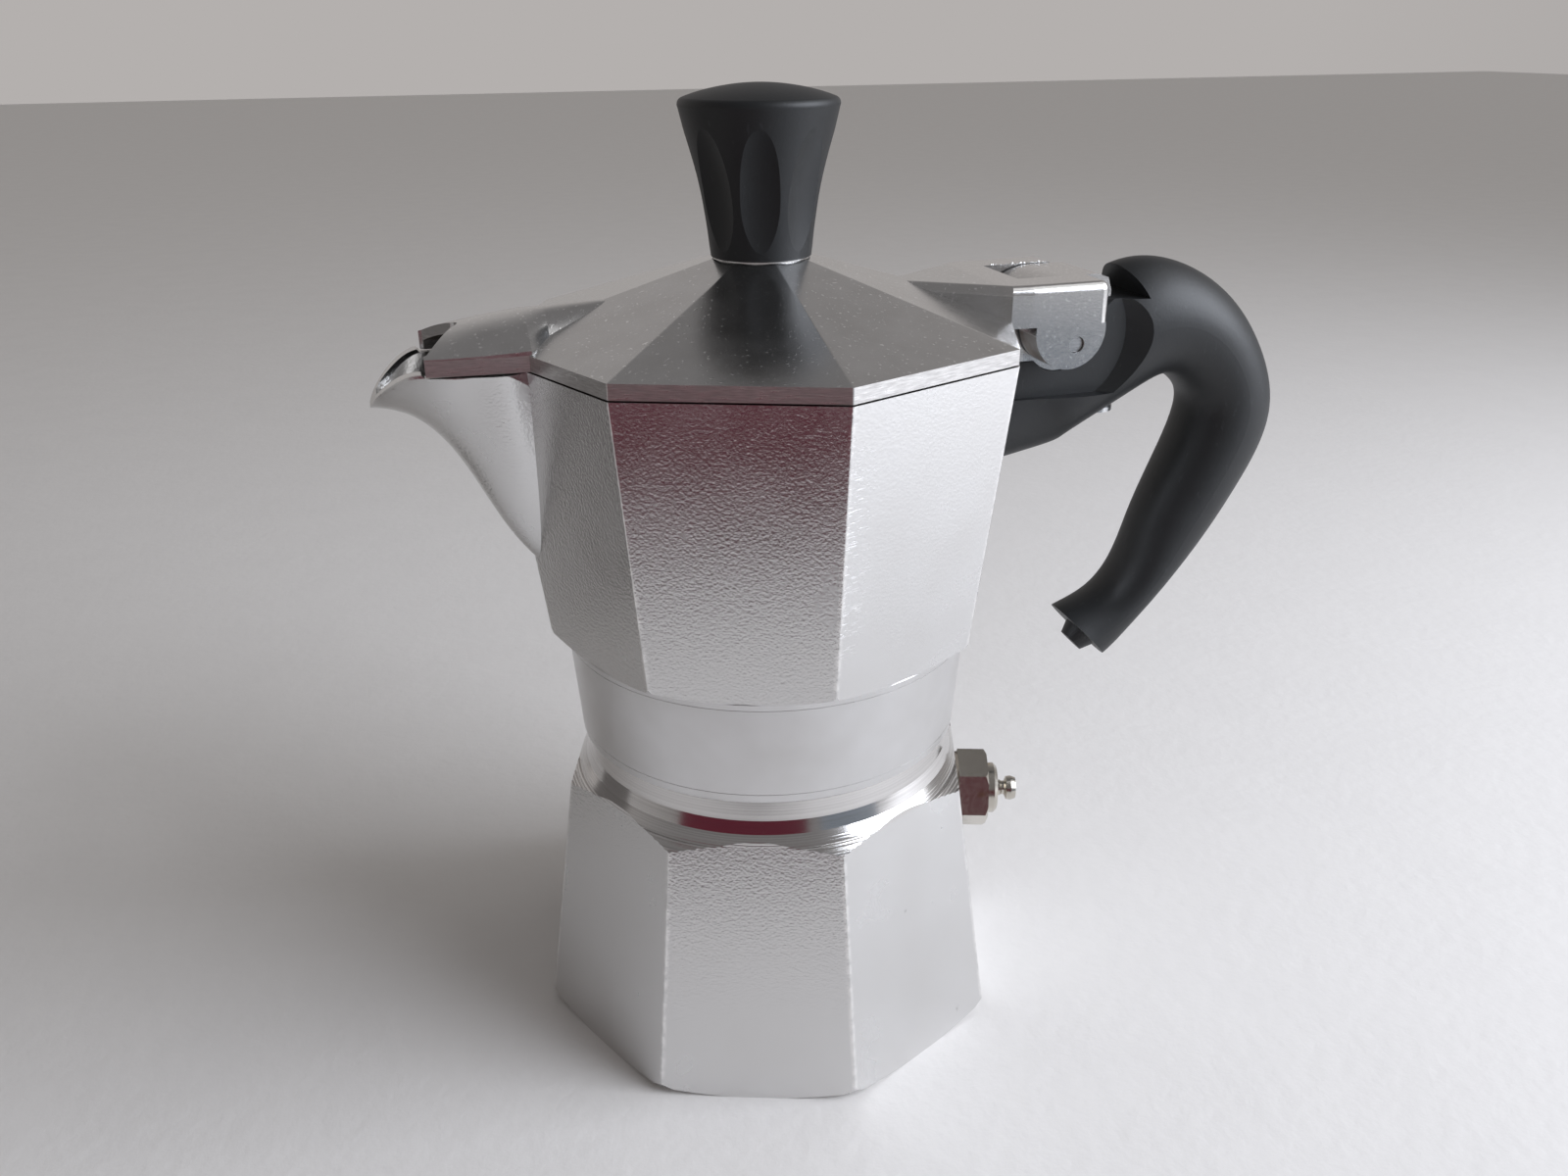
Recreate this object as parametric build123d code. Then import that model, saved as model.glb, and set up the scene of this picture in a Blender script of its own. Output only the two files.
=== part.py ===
from build123d import *
import math
import os

# A one-cup stove-top moka pot. Millimetres; origin at the centre of the base's resting face,
# +Z up, +X towards the handle, -X towards the spout.

# Octagonal castings: a corner of the upper casting points along +X,
# and the circumradius grows evenly with height
FACETS = 8
SEAM_Z = 100.1
SEAM_RADIUS = 35.6
CHAMBER_BOTTOM_Z = 60.2
CHAMBER_BOTTOM_RADIUS = 30.84
BOILER_FOOT_RADIUS = 35.95
BOILER_TAPER = 0.1478
BOILER_TURN = 2.75
CORNER_ROUNDING = 0.35

# Boiler, inside and out
SHOULDER_Z = 37.4
SHOULDER_RADIUS = 30.6
TOOL_MARKS = 6
TOOL_MARK_DEPTH = 0.05
NECK_RADIUS = 26.4
NECK_Z = 44.6
THREAD_RADIUS = 24.3
BOILER_RIM_Z = 57.5
BOILER_MOUTH_RADIUS = 20.5
BOILER_FLOOR = 2.6

# Screwed band of the upper casting
BAND_BOTTOM_Z = 44.9
BAND_BOTTOM_RADIUS = 27.4
BAND_TOP_RADIUS = 28.6
BAND_BORE = 24.75
BAND_LINE_DEPTH = 0.14

# Funnel, gasket and filter plate
BASKET_RADIUS = 20.1
BASKET_WALL = 0.6
BASKET_FLOOR_Z = 43.6
FLANGE_RADIUS = 23.3
FLANGE_THICKNESS = 0.8
TUBE_RADIUS = 3.2
TUBE_END_Z = 6.5
GASKET_INNER = 17.9
GASKET_OUTER = 23.6
GASKET_THICKNESS = 3.0
FILTER_RADIUS = 21.6
FILTER_THICKNESS = 0.8

# Coffee column
COLUMN_FOOT_RADIUS = 4.8
COLUMN_TOP_RADIUS = 3.4
COLUMN_BORE = 2.4
COLUMN_SPIGOT = 4.0
COLUMN_BASE_Z = 69.0
COLUMN_TOP_Z = 92.0

# Spout
SPOUT_WALL = 1.5
SPOUT_BLANK_Z = 102.0

# Lid
LID_SEAT_Z = 100.3
LID_RIM_Z = 102.2
LID_RIM_RADIUS = 35.5
LID_CROWN_Z = 110.8
LID_CROWN_RADIUS = 6.6
LID_WALL = 1.5
COVER_FRONT_X = -43.8
COVER_BACK_X = -31.3

# Hinge: the pin lies along Y
HINGE_X = 41.2
HINGE_Z = 98.3
PIN_RADIUS = 1.05
EAR_BORE = 1.12
LUG_HALF_WIDTH = 5.0
LUG_CAM_RADIUS = 8.3
BOSS_RADIUS = 4.7
NECK_HALF_WIDTH = 3.2
CHEEK_TOP_Z = 103.4
CHEEK_BOTTOM_Z = 95.2
CHEEK_OUTER_Y = 5.15
EAR_INNER_Y = 5.4
EAR_OUTER_Y = 11.0
LOBE_OUTER_Y = 10.3
BLOCK_TOP_Z = 106.7
BLOCK_BOTTOM_Z = 101.2
BLOCK_FRONT_X = 31.0
BLOCK_BACK_X = 45.4
BLOCK_ROUNDING = 1.2
SLOT_RADIUS = 10.9
LID_SWEEP_RADIUS = 13.8
EAR_SWEEP_RADIUS = 10.5

# Knob
KNOB_SEAT_Z = 111.0
KNOB_HEIGHT = 20.8
KNOB_FLUTES = 8
KNOB_FLUTE_TURN = -16.0
FLUTE_ARC_RADIUS = 31.4
FLUTE_SECTION_RADIUS = 9.0
FLUTE_ARC_X = 38.0
FLUTE_ARC_RISE = 2.5
SCREW_RADIUS = 1.5
HANDLE_SCREW_X = 50.5

# Safety valve: its axis is level, square to one boiler facet
VALVE_Z = 30.8
VALVE_ANGLE = -22.5 + BOILER_TURN
VALVE_SEAT = 28.3
HEX_CORNER_RADIUS = 5.95
HEX_LENGTH = 4.4
SPIGOT_RADIUS = 4.0


def octagon(radius, height, turn=0.0):
    """A level octagon with lightly rounded corners."""
    outline = RegularPolygon(radius, FACETS, rotation=turn)
    return Plane.XY.offset(height) * fillet(outline.vertices(), CORNER_ROUNDING)


def octagon_frustum(low_radius, low_z, high_radius, high_z, turn=0.0):
    """A tapered octagonal prism between two heights."""
    return loft([octagon(low_radius, low_z, turn), octagon(high_radius, high_z, turn)], ruled=True)


def turned(profile):
    """A solid of revolution about Z from closed (radius, height) points."""
    outline = make_face(Plane.XZ * Polyline(*profile, close=True))
    return revolve(outline, Axis.Z)


def disc(radius, low_z, high_z):
    return Pos(0, 0, (low_z + high_z) / 2) * Cylinder(radius, high_z - low_z)


def cross_bar(radius, x, z, low_y, high_y):
    """A round bar along Y through (x, z)."""
    bar = Cylinder(radius, high_y - low_y, rotation=(90, 0, 0))
    return Pos(x, (low_y + high_y) / 2, z) * bar


def block(low, high):
    size = [b - a for a, b in zip(low, high)]
    centre = [(a + b) / 2 for a, b in zip(low, high)]
    return Pos(*centre) * Box(*size)


def plate_xz(points, low_y, high_y):
    """A flat plate from (x, z) points, between two Y values."""
    face = make_face(Plane.XZ.offset(-low_y) * Polyline(*points, close=True))
    return extrude(face, amount=-(high_y - low_y))


def valve_part(shape):
    """Stand a shape made along +Z from the pot's axis onto the valve's axis."""
    return Pos(0, 0, VALVE_Z) * Rot(0, 0, VALVE_ANGLE) * Rot(0, 90, 0) * shape


# ---------------------------------------------------------------- boiler and valve

def tool_marks():
    """Points down the shoulder's slope with the lathe tool's shallow grooves between them."""
    points = []
    for step in range(TOOL_MARKS):
        share = step / TOOL_MARKS
        radius = SHOULDER_RADIUS + (28.3 - SHOULDER_RADIUS) * share
        height = SHOULDER_Z + (38.6 - SHOULDER_Z) * share
        points += [(radius, height), (radius - 0.16, height - TOOL_MARK_DEPTH * (1 + step % 2))]
    return points


def boiler():
    """Octagonal water chamber with a turned shoulder, neck and thread land."""
    high = SHOULDER_Z + 8
    faceted = octagon_frustum(
        BOILER_FOOT_RADIUS, 0, BOILER_FOOT_RADIUS - BOILER_TAPER * high, high, BOILER_TURN
    )
    envelope = turned([
        (0, 0), (33.4, 0), (35.2, 0.9), (36.0, 2.2), (36.0, SHOULDER_Z - 2.9), *tool_marks(),
        (28.3, 38.6), (27.3, 40.0), (26.7, 41.8), (NECK_RADIUS, NECK_Z), (0, NECK_Z),
    ])
    thread_land = disc(THREAD_RADIUS, NECK_Z, BOILER_RIM_Z)
    body = faceted & envelope
    body += thread_land
    body -= turned([
        (0, BOILER_FLOOR), (28.0, BOILER_FLOOR), (30.2, BOILER_FLOOR + 2), (25.4, 36.0),
        (24.0, 39.5), (BOILER_MOUTH_RADIUS, 44.0), (BOILER_MOUTH_RADIUS, BOILER_RIM_Z), (0, BOILER_RIM_Z),
    ])
    body -= valve_part(disc(SPIGOT_RADIUS, 20, 40))
    body -= valve_part(disc(HEX_CORNER_RADIUS + 0.7, VALVE_SEAT, 40))
    return body


def valve_body():
    """Hexagon with a spigot through the boiler wall; hollow for the stem and spring."""
    seat = VALVE_SEAT + 0.5
    hexagon = extrude(Plane.XY.offset(seat) * RegularPolygon(HEX_CORNER_RADIUS, 6, rotation=43), HEX_LENGTH)
    corner_trim = turned([
        (0, seat), (HEX_CORNER_RADIUS + 0.1, seat), (HEX_CORNER_RADIUS + 0.1, seat + HEX_LENGTH - 0.5),
        (HEX_CORNER_RADIUS - 0.5, seat + HEX_LENGTH), (0, seat + HEX_LENGTH),
    ])
    spigot = disc(SPIGOT_RADIUS, 24.6, seat)
    shell = (hexagon & corner_trim) + spigot
    shell -= disc(3.0, 26.6, 40)
    shell -= disc(2.0, 20, 27)
    return valve_part(shell)


def valve_washer():
    return valve_part(disc(5.4, VALVE_SEAT, VALVE_SEAT + 0.5) - disc(SPIGOT_RADIUS, 20, 40))


def valve_cap():
    """Round end cap that holds the spring in the hexagon."""
    low = VALVE_SEAT + 0.5 + HEX_LENGTH
    cap = turned([
        (0, low), (3.8, low), (3.8, low + 1.1), (3.3, low + 1.6), (0, low + 1.6),
    ])
    return valve_part(cap - disc(1.3, 20, 40))


def valve_stem():
    """Stem with a round pull end, a waist and a spring collar."""
    stem = turned([
        (0, 24.2), (1.1, 24.2), (1.1, 27.0), (2.6, 27.0), (2.6, 27.7), (1.2, 27.7), (1.2, 35.4),
        (1.05, 35.6), (1.05, 36.0), (1.75, 36.3), (1.85, 37.0), (1.6, 37.7), (0, 37.9),
    ])
    return valve_part(stem)


def valve_seal():
    """Ring under the stem's collar; it shuts the spigot's hole from outside."""
    return valve_part(disc(2.6, 26.65, 27.0) - disc(1.1, 20, 30))


def valve_spring():
    """Coil spring under the cap; it stays clear of the collar at full lift."""
    wire = 0.25
    coil = Helix(pitch=0.9, height=3.1, radius=2.1)
    section = Plane(origin=coil @ 0, z_dir=coil % 0) * Circle(wire)
    return valve_part(Pos(0, 0, 29.75) * sweep(section, path=coil, is_frenet=True))


# ---------------------------------------------------------------- funnel and filter

def funnel():
    """Coffee basket with a rim flange, a cone and a stem tube."""
    rim = BOILER_RIM_Z
    inner = BASKET_RADIUS - BASKET_WALL
    bore = TUBE_RADIUS - BASKET_WALL
    return turned([
        (inner, rim + FLANGE_THICKNESS), (FLANGE_RADIUS, rim + FLANGE_THICKNESS), (FLANGE_RADIUS, rim),
        (BASKET_RADIUS, rim), (BASKET_RADIUS, BASKET_FLOOR_Z), (TUBE_RADIUS + 1, BASKET_FLOOR_Z - 5.5),
        (TUBE_RADIUS, BASKET_FLOOR_Z - 7), (TUBE_RADIUS, TUBE_END_Z), (bore, TUBE_END_Z),
        (bore, BASKET_FLOOR_Z - 6.8),
        (TUBE_RADIUS + 0.6, BASKET_FLOOR_Z - 4.8),
        (inner - 1.2, BASKET_FLOOR_Z + 0.3),
        (inner, BASKET_FLOOR_Z + 0.3),
    ])


def funnel_screen():
    """Perforated disc at the bottom of the basket."""
    radius = BASKET_RADIUS - BASKET_WALL - 0.05
    low = BASKET_FLOOR_Z + 0.35
    screen = disc(radius, low, low + 0.6)
    for ring in range(1, 6):
        for hole in range(6 * ring):
            angle = math.tau * hole / (6 * ring)
            screen -= Pos(3.2 * ring * math.cos(angle), 3.2 * ring * math.sin(angle), low) * Cylinder(0.55, 4)
    return screen


def gasket():
    low = BOILER_RIM_Z + FLANGE_THICKNESS
    high = low + GASKET_THICKNESS
    ring = disc(GASKET_OUTER, low, high) - disc(GASKET_INNER, low - 1, high + 1)
    return fillet(ring.edges(), 0.4)


def filter_plate():
    """Perforated plate with a raised rim step and a dished middle."""
    low = BOILER_RIM_Z + FLANGE_THICKNESS + GASKET_THICKNESS
    high = low + FILTER_THICKNESS
    plate = turned([
        (0, low + 0.9), (14, low + 0.9), (17, low), (FILTER_RADIUS, low), (FILTER_RADIUS, high),
        (17.2, high), (14.2, high + 0.9), (0, high + 0.9),
    ])
    for ring in range(1, 5):
        for hole in range(6 * ring):
            angle = math.tau * hole / (6 * ring)
            plate -= Pos(3.1 * ring * math.cos(angle), 3.1 * ring * math.sin(angle), low) * Cylinder(0.6, 6)
    return plate


# ---------------------------------------------------------------- upper chamber

def spout_section(x, half_width, rim_z, ridge_z):
    """One cross-section of the spout, square to X: a rounded V that stands straight above its rim."""
    shoulder_z = ridge_z + (rim_z - ridge_z) * 0.42
    keel = Spline(
        (-half_width, rim_z), (-half_width * 0.56, shoulder_z), (0, ridge_z), (half_width * 0.56, shoulder_z),
        (half_width, rim_z),
    )
    top = Polyline((half_width, rim_z), (half_width, SPOUT_BLANK_Z), (-half_width, SPOUT_BLANK_Z), (-half_width, rim_z))
    return Plane(origin=(x, 0, 0), x_dir=(0, 1, 0), z_dir=(1, 0, 0)) * make_face([keel, top])


def spout_blank(wall=0.0):
    """The beak before its rim is cut; a wall thickness gives the channel inside it instead."""
    stations = [
        (-29.0, 10.5, 100.1, 69.2), (-34.5, 9.8, 100.1, 76.0), (-38.5, 9.2, 100.1, 83.6),
        (-42.0, 8.6, 100.1, 89.9), (-45.0, 7.7, 100.1, 93.1), (-47.3, 6.1, 99.2, 94.4),
        (-49.2, 4.1, 97.6, 94.95), (-50.7, 1.9, 96.0, 95.15),
    ]
    sections = []
    for x, half_width, rim_z, ridge_z in stations:
        thinning = wall * min(1.0, half_width / 6.0)
        low = min(ridge_z + 1.4 * thinning, rim_z - 0.4)
        sections.append(spout_section(x + 0.6 * wall, half_width - thinning, rim_z, low))
    return loft(sections)


def spout_rim_cut():
    """Everything above the pouring rim: level over the lid's seat, then falling to the tip."""
    with BuildSketch(Plane.XZ) as side:
        with BuildLine():
            Polyline((-28, SPOUT_BLANK_Z + 1), (-28, SEAM_Z), (-43.9, SEAM_Z), (-44.3, SEAM_Z + 0.5))
            Spline((-44.3, SEAM_Z + 0.5), (-46.0, 100.2), (-47.5, 99.3), (-49.0, 98.0), (-50.0, 96.8), (-50.8, 95.4))
            Polyline((-50.8, 95.4), (-53, 92), (-53, SPOUT_BLANK_Z + 1), (-28, SPOUT_BLANK_Z + 1))
        make_face()
    return extrude(side.sketch, 20, both=True)


def hinge_lug():
    """The casting's hinge arm between the lid's ears, with a tang inside the handle."""
    cam = cross_bar(LUG_CAM_RADIUS, HINGE_X, HINGE_Z, -LUG_HALF_WIDTH, LUG_HALF_WIDTH)
    profile = [
        (31.0, 88.0), (35.0, 88.6), (40.0, 90.6), (46.0, 91.6), (48.6, 95.5), (48.9, 104.2),
        (48.3, 106.0), (46.6, BLOCK_TOP_Z - 0.1), (HINGE_X, BLOCK_TOP_Z - 0.1),
        (36.0, 103.6), (33.6, 99.9), (31.0, 99.9),
    ]
    arm = plate_xz(profile, -LUG_HALF_WIDTH, LUG_HALF_WIDTH)
    return (arm + cam) - cheek_zone(0, 20) + handle_tang(0)


def cheek_zone(gap, outer_y):
    """Beside the lug's narrow neck, where the handle's cheeks lie; the pin's boss stays out of it."""
    outline = [
        (28.0, 80.0), (62.0, 80.0), (62.0, CHEEK_TOP_Z - gap), (HINGE_X + gap, CHEEK_TOP_Z - gap),
        (HINGE_X + gap, CHEEK_BOTTOM_Z - gap), (28.0, CHEEK_BOTTOM_Z - gap),
    ]
    inner_y = NECK_HALF_WIDTH + gap
    zone = plate_xz(outline, inner_y, outer_y) + plate_xz(outline, -outer_y, -inner_y)
    return zone - cross_bar(BOSS_RADIUS + gap, HINGE_X, HINGE_Z, -20, 20)


def handle_tang(clearance):
    low = (44.0, -2.6 - clearance, 92.0 - clearance)
    return block(low, (57.0 + clearance, 2.6 + clearance, 97.0 + clearance))


def upper_outside():
    """Faceted casting with its corners turned down to the round band."""
    faceted = octagon_frustum(
        CHAMBER_BOTTOM_RADIUS, CHAMBER_BOTTOM_Z, SEAM_RADIUS, SEAM_Z
    )
    envelope = turned([
        (0, CHAMBER_BOTTOM_Z), (28.7, CHAMBER_BOTTOM_Z), (30.8, 61.3), (31.3, 62.6),
        (37, 80), (37, SEAM_Z), (0, SEAM_Z),
    ])
    band = turned([
        (0, BAND_BOTTOM_Z), (BAND_BOTTOM_RADIUS - 0.3, BAND_BOTTOM_Z),
        (BAND_BOTTOM_RADIUS, BAND_BOTTOM_Z + 0.3),
        (BAND_TOP_RADIUS - 0.1, CHAMBER_BOTTOM_Z - 0.9), (BAND_TOP_RADIUS, CHAMBER_BOTTOM_Z),
        (0, CHAMBER_BOTTOM_Z),
    ])
    for height in (BAND_BOTTOM_Z + 1.4, CHAMBER_BOTTOM_Z - 0.9):
        share = (height - BAND_BOTTOM_Z) / (CHAMBER_BOTTOM_Z - BAND_BOTTOM_Z)
        radius = BAND_BOTTOM_RADIUS + (BAND_TOP_RADIUS - BAND_BOTTOM_RADIUS) * share
        band -= turned([
            (radius - BAND_LINE_DEPTH, height), (radius + 1, height - 0.6), (radius + 1, height + 0.6),
        ])
    return (faceted & envelope) + band


def upper_chamber():
    """Octagonal collecting chamber: band, walls, spout and hinge lug in one casting."""
    seat = BOILER_RIM_Z + FLANGE_THICKNESS + GASKET_THICKNESS
    chamber = octagon_frustum(28.6, 66.2, SEAM_RADIUS - 2.1, SEAM_Z + 1)
    chamber_floor = turned([
        (0, 60), (40, 60), (40, 66.2), (24, 66.2), (8.0, 69.0), (0, 69.0),
    ])
    core = turned([(0, 60), (30, 60), (30, 103), (0, 103)])
    spout = (spout_blank() - core) - spout_rim_cut()
    outside = upper_outside() + spout + hinge_lug()
    hollow = (chamber - chamber_floor) + spout_blank(SPOUT_WALL)
    casting = outside - hollow
    casting -= turned([
        (0, BAND_BOTTOM_Z - 1), (BAND_BORE, BAND_BOTTOM_Z - 1), (BAND_BORE, BOILER_RIM_Z + 0.4),
        (GASKET_OUTER + 0.3, BOILER_RIM_Z + 0.6), (GASKET_OUTER + 0.3, seat), (FILTER_RADIUS + 0.3, seat),
        (FILTER_RADIUS + 0.3, seat + FILTER_THICKNESS), (17.6, seat + 1.9), (5.6, 66.0), (0, 66.0),
    ])
    casting -= disc(COLUMN_SPIGOT, 60, 75)
    casting -= cross_bar(PIN_RADIUS, HINGE_X, HINGE_Z, -20, 20)
    casting -= Pos(HANDLE_SCREW_X, 0, 92) * Cylinder(SCREW_RADIUS, 12)
    return casting


def coffee_column():
    """Tapered riser pressed into the chamber floor, closed on top, with two side outlets."""
    tube = turned([
        (COLUMN_BORE, 66.0), (COLUMN_SPIGOT, 66.0), (COLUMN_SPIGOT, COLUMN_BASE_Z),
        (COLUMN_FOOT_RADIUS, COLUMN_BASE_Z), (COLUMN_FOOT_RADIUS, COLUMN_BASE_Z + 1.2),
        (COLUMN_TOP_RADIUS, COLUMN_TOP_Z - 1.5), (COLUMN_TOP_RADIUS + 0.6, COLUMN_TOP_Z - 1.0),
        (COLUMN_TOP_RADIUS + 0.4, COLUMN_TOP_Z), (1.6, COLUMN_TOP_Z + 1.6), (0, COLUMN_TOP_Z + 1.8),
        (0, COLUMN_TOP_Z), (COLUMN_BORE, COLUMN_TOP_Z - 1.0),
    ])
    outlet = block((-1.3, -8, COLUMN_TOP_Z - 6.5), (1.3, 8, COLUMN_TOP_Z - 2.0))
    return tube - outlet


def hinge_pin():
    return cross_bar(PIN_RADIUS, HINGE_X, HINGE_Z, -9.9, 9.9)


# ---------------------------------------------------------------- lid and knob

def lid_roof():
    """Pitched octagonal roof, from the rim's top edge to the knob's seat."""
    return loft([octagon(LID_RIM_RADIUS, LID_RIM_Z), octagon(LID_CROWN_RADIUS, LID_CROWN_Z)], ruled=True)


def cover_section(x, half_width, edge_z, ridge_z, low_z):
    """Cross-section of the spout cover: straight sides and an arched top."""
    sides = Polyline(
        (half_width, edge_z), (half_width, low_z), (-half_width, low_z), (-half_width, edge_z)
    )
    arch = ThreePointArc((-half_width, edge_z), (0, ridge_z), (half_width, edge_z))
    return Plane(origin=(x, 0, 0), x_dir=(0, 1, 0), z_dir=(1, 0, 0)) * make_face([sides, arch])


def spout_cover(wall=0.0):
    """Roof over the spout, narrowing back into the lid's pitch; a wall gives the space beneath."""
    low = LID_SEAT_Z - (1 if wall else 0)
    front = COVER_FRONT_X - (5 if wall else 0)
    beak = [(front, 8.2, 102.4, 103.9), (-38.4, 8.9, 102.5, 105.0), (COVER_BACK_X, 9.3, 102.8, 106.0)]
    neck = [
        (COVER_BACK_X, 9.3, 102.8, 106.0),
        (-28.6, 6.0, 102.3, 106.2),
        (-25.4, 5.0, 102.2, 106.4),
        (-20.0, 3.0, 103.0, 106.6),
    ]
    body = None
    for stations, straight in ((beak, False), (neck, True)):
        sections = [
            cover_section(x, half - wall, edge - wall * 0.6, ridge - wall, low) for x, half, edge, ridge in stations
        ]
        piece = loft(sections, ruled=straight)
        body = piece if body is None else body + piece
    return body


def cover_notch():
    """Rounded V-shaped opening in the front edge of the spout cover."""
    with BuildSketch(Plane.XY.offset(98)) as notch:
        with BuildLine():
            Polyline((-40.0, 1.3), (-43.4, 7.3), (-46, 8.2), (-46, -8.2), (-43.4, -7.3), (-40.0, -1.3))
            ThreePointArc((-40.0, -1.3), (-39.2, 0), (-40.0, 1.3))
        make_face()
    return extrude(notch.sketch, 10)


def hinge_block():
    """Two ears and the bridge in front of the lug, tapering into the lid's roof."""
    side = plate_xz([
        (12.0, 106.0), (30.0, BLOCK_BOTTOM_Z), (BLOCK_BACK_X, BLOCK_BOTTOM_Z),
        (BLOCK_BACK_X, BLOCK_TOP_Z), (12.0, BLOCK_TOP_Z),
    ], -EAR_OUTER_Y, EAR_OUTER_Y)
    with BuildSketch(Plane.XY.offset(BLOCK_BOTTOM_Z)) as plan:
        with BuildLine():
            Polyline(
                (19.0, -2.2), (BLOCK_FRONT_X, -10.8), (34.0, -EAR_OUTER_Y), (BLOCK_BACK_X, -EAR_OUTER_Y),
                (BLOCK_BACK_X, EAR_OUTER_Y), (34.0, EAR_OUTER_Y), (BLOCK_FRONT_X, 10.8), (19.0, 2.2), close=True,
            )
        make_face()
    body = extrude(plan.sketch, BLOCK_TOP_Z - BLOCK_BOTTOM_Z) & side
    top_edges = body.edges().group_by(Axis.Z)[-1]
    outer_top = top_edges.filter_by(lambda edge: edge.center().X > 24 or abs(edge.center().Y) > 4)
    back_edges = body.edges().filter_by(Axis.Z).group_by(Axis.X)[-1]
    body = fillet(outer_top + back_edges, BLOCK_ROUNDING)
    lobes = cross_bar(5.2, HINGE_X - 1.0, HINGE_Z + 1.9, -LOBE_OUTER_Y, LOBE_OUTER_Y)
    body += lobes - block((20, -20, BLOCK_BOTTOM_Z + 1), (60, 20, 120))
    return body


def hinge_slot():
    """Room for the lug between the ears, and the pin's hole."""
    slot = block((HINGE_X - 6, -EAR_INNER_Y, 80), (60, EAR_INNER_Y, 120))
    slot += cross_bar(SLOT_RADIUS, HINGE_X, HINGE_Z, -EAR_INNER_Y, EAR_INNER_Y)
    return slot + cross_bar(EAR_BORE, HINGE_X, HINGE_Z, -20, 20)


def lid():
    """Pitched lid with a rim, spout cover and hinge ears in one piece."""
    rim = octagon_frustum(LID_RIM_RADIUS, LID_SEAT_Z, LID_RIM_RADIUS, LID_RIM_Z)
    inner_radius = LID_RIM_RADIUS - LID_WALL
    inner_rim = octagon_frustum(inner_radius, LID_SEAT_Z - 1, inner_radius, LID_RIM_Z - 0.7)
    seat = turned([(0, 108), (6.3, 108), (6.3, KNOB_SEAT_Z), (0, KNOB_SEAT_Z)])
    inner_roof = loft(
        [octagon(LID_RIM_RADIUS - LID_WALL, LID_RIM_Z - 0.71), octagon(LID_CROWN_RADIUS, LID_CROWN_Z - 1.7)], ruled=True
    )
    hollow = inner_rim + inner_roof + spout_cover(LID_WALL)
    body = rim + lid_roof() + spout_cover() + hinge_block() + seat
    hinge_end = block((BLOCK_FRONT_X - 3, -EAR_OUTER_Y, 80), (60, EAR_OUTER_Y, 120))
    body -= hollow - hinge_end
    body -= hinge_slot()
    body -= cover_notch()
    body -= disc(SCREW_RADIUS + 0.15, 100, 115)
    return body


def knob():
    """Flared grip with a domed top, long scalloped flutes and a bore for its screw."""
    z = KNOB_SEAT_Z
    side = Spline(
        (6.5, z), (6.85, z + 2.4), (7.4, z + 5.4), (8.0, z + 8.9),
        (8.85, z + 12.8), (9.6, z + 15.9), (10.1, z + 18.0)
    )
    corner = ThreePointArc((10.1, z + 18.0), (10.1, z + 18.7), (9.6, z + 19.15))
    crown = Spline((9.6, z + 19.15), (7.4, z + 19.85), (5.0, z + 20.36), (2.5, z + 20.69), (0, z + KNOB_HEIGHT))
    close = Polyline((0, z + KNOB_HEIGHT), (0, z), (6.5, z))
    body = revolve(Plane.XZ * make_face([side, corner, crown, close]), Axis.Z)
    scoop = Torus(FLUTE_ARC_RADIUS - FLUTE_SECTION_RADIUS, FLUTE_SECTION_RADIUS, rotation=(90, 0, 0))
    for flute in range(KNOB_FLUTES):
        turn = 360 / KNOB_FLUTES * flute + KNOB_FLUTE_TURN
        body -= Rot(0, 0, turn) * Pos(FLUTE_ARC_X, 0, z + FLUTE_ARC_RISE) * scoop
    return body - disc(SCREW_RADIUS, z - 1, z + 9)


def knob_screw():
    """Pan-head screw up through the lid into the knob."""
    shank = disc(SCREW_RADIUS, 108.0, KNOB_SEAT_Z + 8.5)
    head = disc(2.9, 106.1, 108.0)
    slot = block((-3.5, -0.4, 106.0), (3.5, 0.4, 106.9))
    return shank + head - slot


def knob_washer():
    return disc(3.6, 108.0, 108.6) - disc(SCREW_RADIUS + 0.1, 107, 110)


# ---------------------------------------------------------------- handle

def handle_section(x, z, lean, half_depth, half_width):
    """One oval cross-section; lean is the direction across the handle, in degrees from +X."""
    across = (math.cos(math.radians(lean)), 0, math.sin(math.radians(lean)))
    along = (across[2], 0, -across[0])
    return Plane(origin=(x, 0, z), x_dir=across, z_dir=along) * Ellipse(half_depth, half_width)


def handle_bar():
    """Hooked grip: from the chamber's corner, up over the hinge, and down to the toe."""
    stations = [
        (31.0, 85.3, 110, 5.9, 5.8), (42.3, 89.9, 114, 7.5, 7.0), (50.6, 95.7, 112, 8.7, 7.8),
        (58.5, 99.0, 97, 8.7, 8.0), (65.4, 96.7, 68, 7.4, 7.8), (70.4, 91.5, 38, 6.6, 7.5),
        (72.7, 84.6, 2, 6.9, 7.3), (69.7, 75.1, -22, 6.6, 7.0), (64.9, 65.6, -26, 5.7, 6.4),
        (60.3, 57.5, -32, 4.0, 5.9), (56.3, 53.1, -40, 4.2, 5.6), (51.4, 49.7, -47, 5.4, 5.7),
    ]
    bar = loft([handle_section(*station) for station in stations])
    toe = Plane(origin=(51.9, 0, 49.1), z_dir=(-0.731, 0, -0.682))
    return bar + toe * Pos(0, 0, 0.3) * Cone(3.4, 2.0, 3.4)


def handle_screw():
    """Countersunk screw up through the handle into the lug's tang."""
    outline = [
        (0, 86.0), (2.8, 86.0), (2.8, 86.6),
        (SCREW_RADIUS, 88.0), (SCREW_RADIUS, 97.0), (0, 97.0),
    ]
    return turned_at(HANDLE_SCREW_X, outline)


def turned_at(x, profile):
    return Pos(x, 0, 0) * turned(profile)


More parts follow.
